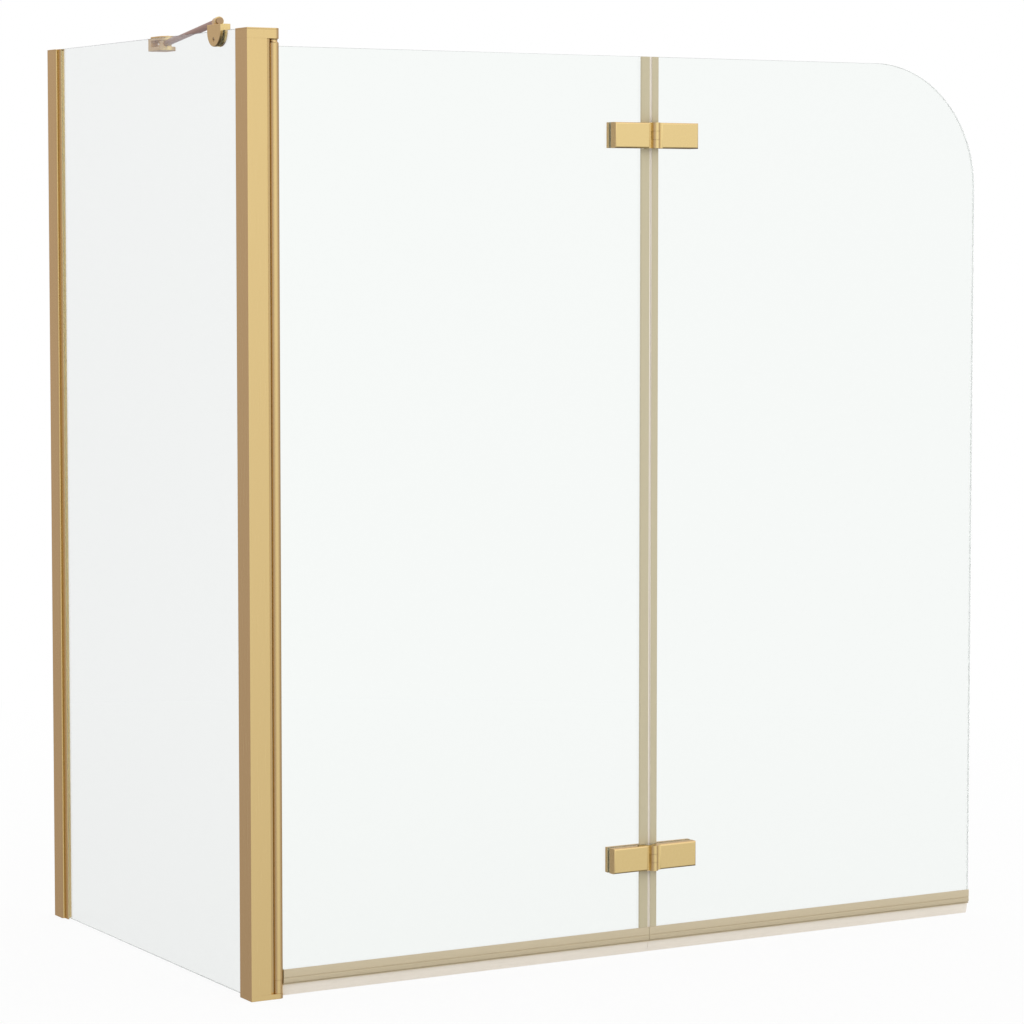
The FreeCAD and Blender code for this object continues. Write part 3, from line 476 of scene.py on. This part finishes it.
def makePanes():
    half = panes["thickness"] / 2
    side = panes["side"]
    (y0, y1), (z0, z1) = side["y"], side["z"]
    bm = drawnOut([(y0, z0), (y1, z0), (y1, z1), (y0, z1)], "X", side["x"] - half, side["x"] + half)
    breakEdges(bm, panes["arris"], segments=1)
    finishRim(placePiece("side_pane", bm, "side_glass"), 0)
    x0, xNotch, xRail, x1 = panes["leafA"]["x"]
    z0, zRail, zLow, zHigh, z1 = panes["leafA"]["z"]
    outline = [(xRail, z0), (x1, z0), (x1, z1), (xNotch, z1), (xNotch, zHigh), (x0, zHigh), (x0, zLow),
               (xNotch, zLow), (xNotch, zRail), (xRail, zRail)]
    placeLeafPane("leaf_a_pane", "leaf_a_glass", outline, (), fold["middleA"])
    x0, x1 = panes["leafB"]["x"]
    z0, z1 = panes["leafB"]["z"]
    outline = [(x0, z0), (x1, z0), (x1, z1), (x0, z1)]
    placeLeafPane("leaf_b_pane", "leaf_b_glass", outline, [(2, panes["cornerRadius"])], fold["middleB"])


def placeLeafPane(name, node, outline, rounds, boltMiddle):
    half = panes["thickness"] / 2
    bm = drawnOut(outline, "Y", leafY - half, leafY + half, rounds)
    breakEdges(bm, panes["arris"], panes["sharp"], segments=1)
    length = panes["drillLength"]
    holes = [rod(panes["boltHole"], length, (boltMiddle + side * fold["boltSpread"], leafY - length / 2, z),
                 (0, 1, 0)) for side in (-1, 1) for z in fold["levels"]]
    finishRim(placePiece(name, carve(bm, holes), node), 1)


# The rim is every face that isn't one of the two large ones, which look along the thin axis
def finishRim(pane, thinAxis):
    pane.data.materials.append(finishes["glass_rim"])
    for face in pane.data.polygons:
        if abs(face.normal[thinAxis]) < panes["largeFace"]:
            face.material_index = 1


makePanes()
print("panes made: 3")


# Edge seals: a U that tapers on to the glass, its back jaw shorter, with a softer bulb towards the fold
seals = {"outer": 4.5, "jaw": 3.05, "tip": 1.0, "ramp": 3.0, "thin": 0.25, "corner": 0.8, "backShort": 2.4,
         "foot": 38.4, "top": 1276.6, "notch": 18.4, "notchY": (-30, 5), "bulbHalf": (4.1, 4.0, 3.2),
         "bulbBite": 0.1,
         "a": {"cover": 598.6, "glassEnd": 611.9, "end": 613.3, "bulb": 615.45, "notched": (590, 607.7)},
         "b": {"cover": 628.3, "glassEnd": 618.2, "end": 616.8, "bulb": 616.15, "notched": (624.9, 640)}}


def sealJaw(cover, end, way, side):
    outer, jaw, thin, corner = [seals[size] for size in ("outer", "jaw", "thin", "corner")]
    return [(cover, leafY + side * jaw), (cover, leafY + side * (jaw + thin)),
            (cover + way * seals["tip"], leafY + side * (outer - thin)),
            (cover + way * seals["ramp"], leafY + side * outer),
            (end - way * corner, leafY + side * outer), (end, leafY + side * (outer - corner))]


def makeSeals():
    for leaf in "ab":
        look = seals[leaf]
        way = 1 if leaf == "a" else -1
        cover, glassEnd, end = look["cover"], look["glassEnd"], look["end"]
        front = sealJaw(cover, end, way, -1)
        back = sealJaw(cover + way * seals["backShort"], end, way, 1)
        inside = [(glassEnd, leafY + seals["jaw"]), (glassEnd, leafY - seals["jaw"])]
        bm = drawnOut(front + back[::-1] + inside, "Z", seals["foot"], seals["top"])
        tools = []
        for z in fold["levels"]:
            low, high = zip(look["notched"], seals["notchY"], (z - seals["notch"], z + seals["notch"]))
            tools.append(block(low, high))
        placePiece("leaf_%s_seal_channel" % leaf, carve(bm, tools), "leaf_%s_edge_seal" % leaf)
        outs = (end - way * seals["bulbBite"], end + (look["bulb"] - end) * 0.5, look["bulb"])
        bulb = [(x, leafY - half) for x, half in zip(outs, seals["bulbHalf"])]
        bulb += [(x, leafY + half) for x, half in zip(outs, seals["bulbHalf"])][::-1]
        bm = drawnOut(bulb, "Z", seals["foot"], seals["top"])
        placePiece("leaf_%s_seal_bulb" % leaf, bm, "leaf_%s_edge_seal" % leaf, "lip_vinyl")


makeSeals()
print("seals made: 4")


# Bottom rails: rounded jaws on the glass, the back one lower, a soft groove along each side, and a slot near
# the foot, given by its edges' heights above it. The end beside the stile is plugged.
rails = {"a": (34.75, 615.5), "b": (616.1, 1185.3), "foot": 17.7, "top": 38.4, "half": 5.0, "jaw": 3.05,
         "floor": 29.6, "backLow": 1.5, "corner": 0.6, "cornerDrop": 0.9, "crown": 0.15, "mouth": 0.5,
         "groove": 27.0, "grooveDepth": 0.8, "grooveMouth": 0.7, "grooveFloor": 0.3,
         "undercut": 2.2, "undercutLip": 0.3, "slot": (0.7, 0.8, 2.2, 2.3, 2.7),
         "plug": 0.9, "plugBite": 0.1, "plugDrop": 0.3}


def railSide(side, top):
    half, jaw, groove, foot, corner = [rails[size] for size in ("half", "jaw", "groove", "foot", "corner")]
    inner = half - rails["grooveDepth"]
    under = half - rails["undercut"]
    mouth, flat = rails["grooveMouth"], rails["grooveFloor"]
    levels = [foot + rise for rise in rails["slot"]]
    steps = [(jaw, rails["floor"]), (jaw, top - corner), (jaw + rails["mouth"], top),
             (half - corner, top - rails["crown"]), (half, top - rails["cornerDrop"]),
             (half, groove + mouth), (inner, groove + flat), (inner, groove - flat), (half, groove - mouth),
             (half, levels[4]), (half - rails["undercutLip"], levels[3]),
             (under, levels[2]), (under, levels[1]), (half - corner, levels[0]), (half - corner, foot)]
    return [(leafY + side * out, z) for out, z in steps]


def makeRails():
    outline = railSide(-1, rails["top"]) + railSide(1, rails["top"] - rails["backLow"])[::-1]
    for leaf in "ab":
        start, end = rails[leaf]
        bm = drawnOut(outline, "X", start, end)
        if leaf == "a":
            jaw = rails["jaw"] + rails["plugBite"]
            plug = block((start, leafY - jaw, rails["floor"] - rails["plugBite"]),
                         (start + rails["plug"], leafY + jaw, rails["top"] - rails["plugDrop"]))
            bm = carve(bm, [plug], "UNION")
        placePiece("leaf_%s_rail" % leaf, bm, "leaf_%s_bottom_rail" % leaf)


makeRails()

# Drip lips: thin curved blades under the rails that lean towards the bath
lips = {"root": 0.8, "tip": 0.45, "lean": 2.4, "curve": 1.6, "top": 17.75, "bottom": 2.1, "steps": 8,
        "startGap": 0.25}


def makeLips():
    front, back = [], []
    for step in range(lips["steps"] + 1):
        share = step / lips["steps"]
        z = lips["top"] + (lips["bottom"] - lips["top"]) * share
        y = leafY + lips["lean"] * share ** lips["curve"]
        half = lips["root"] + (lips["tip"] - lips["root"]) * share
        front.append((y - half, z))
        back.append((y + half, z))
    for leaf in "ab":
        start, end = rails[leaf]
        bm = drawnOut(front + back[::-1], "X", start + lips["startGap"], end)
        placePiece("leaf_%s_lip" % leaf, bm, "leaf_%s_drip_lip" % leaf)


makeLips()
print("rails and lips made")

for node, cadObject in nodes.items():
    cadObject.data.materials.clear()
    cadObject.data.materials.append(finishes[slotOf[node]])


# The photograph's view: level verticals are split between a small shift and a small tilt
photoView = {"place": (-2.0043, -4.1868, 1.0339), "yaw": 29.846, "tilt": -3.803, "focalPixels": 3478.8,
             "framePixels": 1024, "sensor": 36.0, "shift": -0.05, "reach": 60}


def makeCamera():
    view = photoView
    data = bpy.data.cameras.new("photoCamera")
    data.sensor_width = view["sensor"]
    data.lens = view["focalPixels"] / view["framePixels"] * view["sensor"]
    data.shift_y = view["shift"]
    data.clip_end = view["reach"]
    camera = bpy.data.objects.new("photoCamera", data)
    camera.location = view["place"]
    camera.rotation_euler = (math.radians(90 + view["tilt"]), 0, math.radians(-view["yaw"]))
    bpy.context.scene.collection.objects.link(camera)
    bpy.context.scene.camera = camera


# A white studio: an even world, one large soft lamp at the front right, a pale floor.
# The metal reflects a bright side at the front right, a mauve-grey one behind, and less light lower down.
studio = {"ambient": 0.85, "brightWay": (0.176, -0.984, 0.0), "brightFrom": 0.28, "brightFall": 2.0,
          "brightTone": 1.22, "dimTone": (0.63, 0.56, 0.64, 1.0),
          "heights": (-0.8, -0.45, -0.25, 0.063, 0.45, 0.9), "levels": (0.16, 0.45, 0.78, 1.0, 1.29, 2.0)}
keyLamp = {"place": (3.4, -5.2, 3.0), "aim": (0.4, 0.2, 0.7), "size": 3.2, "power": 60}
floor = {"size": 60.0, "drop": 0.4, "colour": "#f6f6f4", "glow": 0.92, "fadeFrom": 1.0, "fadeTo": 3.0}


# How far a ray is one that should find plain white: seen by the camera, or through glass
def seenPlainly(tree):
    ray = addNode(tree, "ShaderNodeLightPath", {})
    either = addNode(tree, "ShaderNodeMath", {"operation": "MAXIMUM"},
                     [(0, ray.outputs["Is Camera Ray"]), (1, ray.outputs["Is Transmission Ray"])])
    return ray, either


def grey(level):
    return (level, level, level, 1.0)


def makeWorld():
    world = bpy.data.worlds.new("whiteStudio")
    bpy.context.scene.world = world
    world.use_nodes = True
    tree = world.node_tree
    tree.nodes.clear()
    ray, either = seenPlainly(tree)
    way = addNode(tree, "ShaderNodeTexCoord", {})
    ahead = addNode(tree, "ShaderNodeVectorMath", {"operation": "DOT_PRODUCT"},
                    [(0, way.outputs["Generated"])])
    ahead.inputs[1].default_value = studio["brightWay"]
    height = addNode(tree, "ShaderNodeSeparateXYZ", {}, [("Vector", way.outputs["Generated"])])
    facing = addNode(tree, "ShaderNodeMapRange", {"From Min": studio["brightFrom"]},
                     [("Value", ahead.outputs["Value"])])
    side = addNode(tree, "ShaderNodeMath", {"operation": "POWER"}, [(0, facing.outputs["Result"])])
    side.inputs[1].default_value = studio["brightFall"]
    upwards = addNode(tree, "ShaderNodeMapRange", {"From Min": -1.0}, [("Value", height.outputs["Z"])])
    levels = addNode(tree, "ShaderNodeValToRGB", {}, [("Fac", upwards.outputs["Result"])])
    top = max(studio["levels"])  # the ramp's colours stop at 1, so they are shares of the top level
    for number, (place, value) in enumerate(zip(studio["heights"], studio["levels"])):
        if number < 2:
            stop = levels.color_ramp.elements[number]
            stop.position = (place + 1) / 2
        else:
            stop = levels.color_ramp.elements.new((place + 1) / 2)
        stop.color = grey(value / top)
    level = addNode(tree, "ShaderNodeMath", {"operation": "MULTIPLY"}, [(0, levels.outputs["Color"])])
    level.inputs[1].default_value = top
    tone = addNode(tree, "ShaderNodeMixRGB",
                   {"Color1": studio["dimTone"], "Color2": grey(studio["brightTone"])},
                   [("Fac", side.outputs["Value"])])
    reflected = addNode(tree, "ShaderNodeVectorMath", {"operation": "SCALE"},
                        [(0, tone.outputs["Color"]), ("Scale", level.outputs["Value"])])
    unseen = addNode(tree, "ShaderNodeMixRGB", {"Color1": grey(studio["ambient"])},
                     [("Fac", ray.outputs["Is Glossy Ray"]), ("Color2", reflected.outputs["Vector"])])
    colour = addNode(tree, "ShaderNodeMixRGB", {"Color2": grey(1)},
                     [("Fac", either.outputs["Value"]), ("Color1", unseen.outputs["Color"])])
    light = addNode(tree, "ShaderNodeBackground", {"Strength": 1.0}, [("Color", colour.outputs["Color"])])
    addNode(tree, "ShaderNodeOutputWorld", {}, [("Surface", light.outputs["Background"])])


def makeKeyLamp():
    lamp = bpy.data.lights.new("softKey", "AREA")
    lamp.shape = "SQUARE"
    lamp.size = keyLamp["size"]
    lamp.energy = keyLamp["power"]
    key = bpy.data.objects.new("softKey", lamp)
    key.location = keyLamp["place"]
    aim = Vector(keyLamp["aim"]) - Vector(keyLamp["place"])
    key.rotation_euler = aim.to_track_quat("-Z", "Y").to_euler()
    key.visible_camera = False
    key.visible_glossy = False
    key.visible_transmission = False
    bpy.context.scene.collection.objects.link(key)


# The floor keeps the object's shadow near it and fades to plain white further out
def makeFloor():
    material, tree = newMaterial("paleFloor")
    either = seenPlainly(tree)[1]
    place = addNode(tree, "ShaderNodeTexCoord", {})
    far = addNode(tree, "ShaderNodeVectorMath", {"operation": "LENGTH"}, [(0, place.outputs["Object"])])
    fade = addNode(tree, "ShaderNodeMapRange", {"From Min": floor["fadeFrom"], "From Max": floor["fadeTo"],
                                                "To Min": floor["glow"], "To Max": 1.0},
                   [("Value", far.outputs["Value"])])
    glow = addNode(tree, "ShaderNodeMath", {"operation": "MULTIPLY"},
                   [(0, either.outputs["Value"]), (1, fade.outputs["Result"])])
    matt = addNode(tree, "ShaderNodeBsdfDiffuse", {"Color": linear(floor["colour"])})
    white = addNode(tree, "ShaderNodeEmission", {"Color": grey(1), "Strength": 1.0})
    mixed = addNode(tree, "ShaderNodeMixShader", {},
                    [(0, glow.outputs["Value"]), (1, matt.outputs["BSDF"]), (2, white.outputs["Emission"])])
    addNode(tree, "ShaderNodeOutputMaterial", {}, [("Surface", mixed.outputs["Shader"])])
    bm = bmesh.new()
    bmesh.ops.create_grid(bm, x_segments=1, y_segments=1, size=floor["size"] / 2)
    bmesh.ops.translate(bm, verts=bm.verts, vec=(0, 0, -floor["drop"] * mm))
    placeOnStage("floor", bm, material).visible_glossy = False


def placeOnStage(name, bm, material):
    mesh = bpy.data.meshes.new(name)
    bm.to_mesh(mesh)
    bm.free()
    mesh.materials.append(material)
    thing = bpy.data.objects.new(name, mesh)
    bpy.context.scene.collection.objects.link(thing)
    return thing


makeCamera()
makeWorld()
makeKeyLamp()
makeFloor()
bpy.context.scene.view_settings.view_transform = "Standard"
print("camera and studio set")
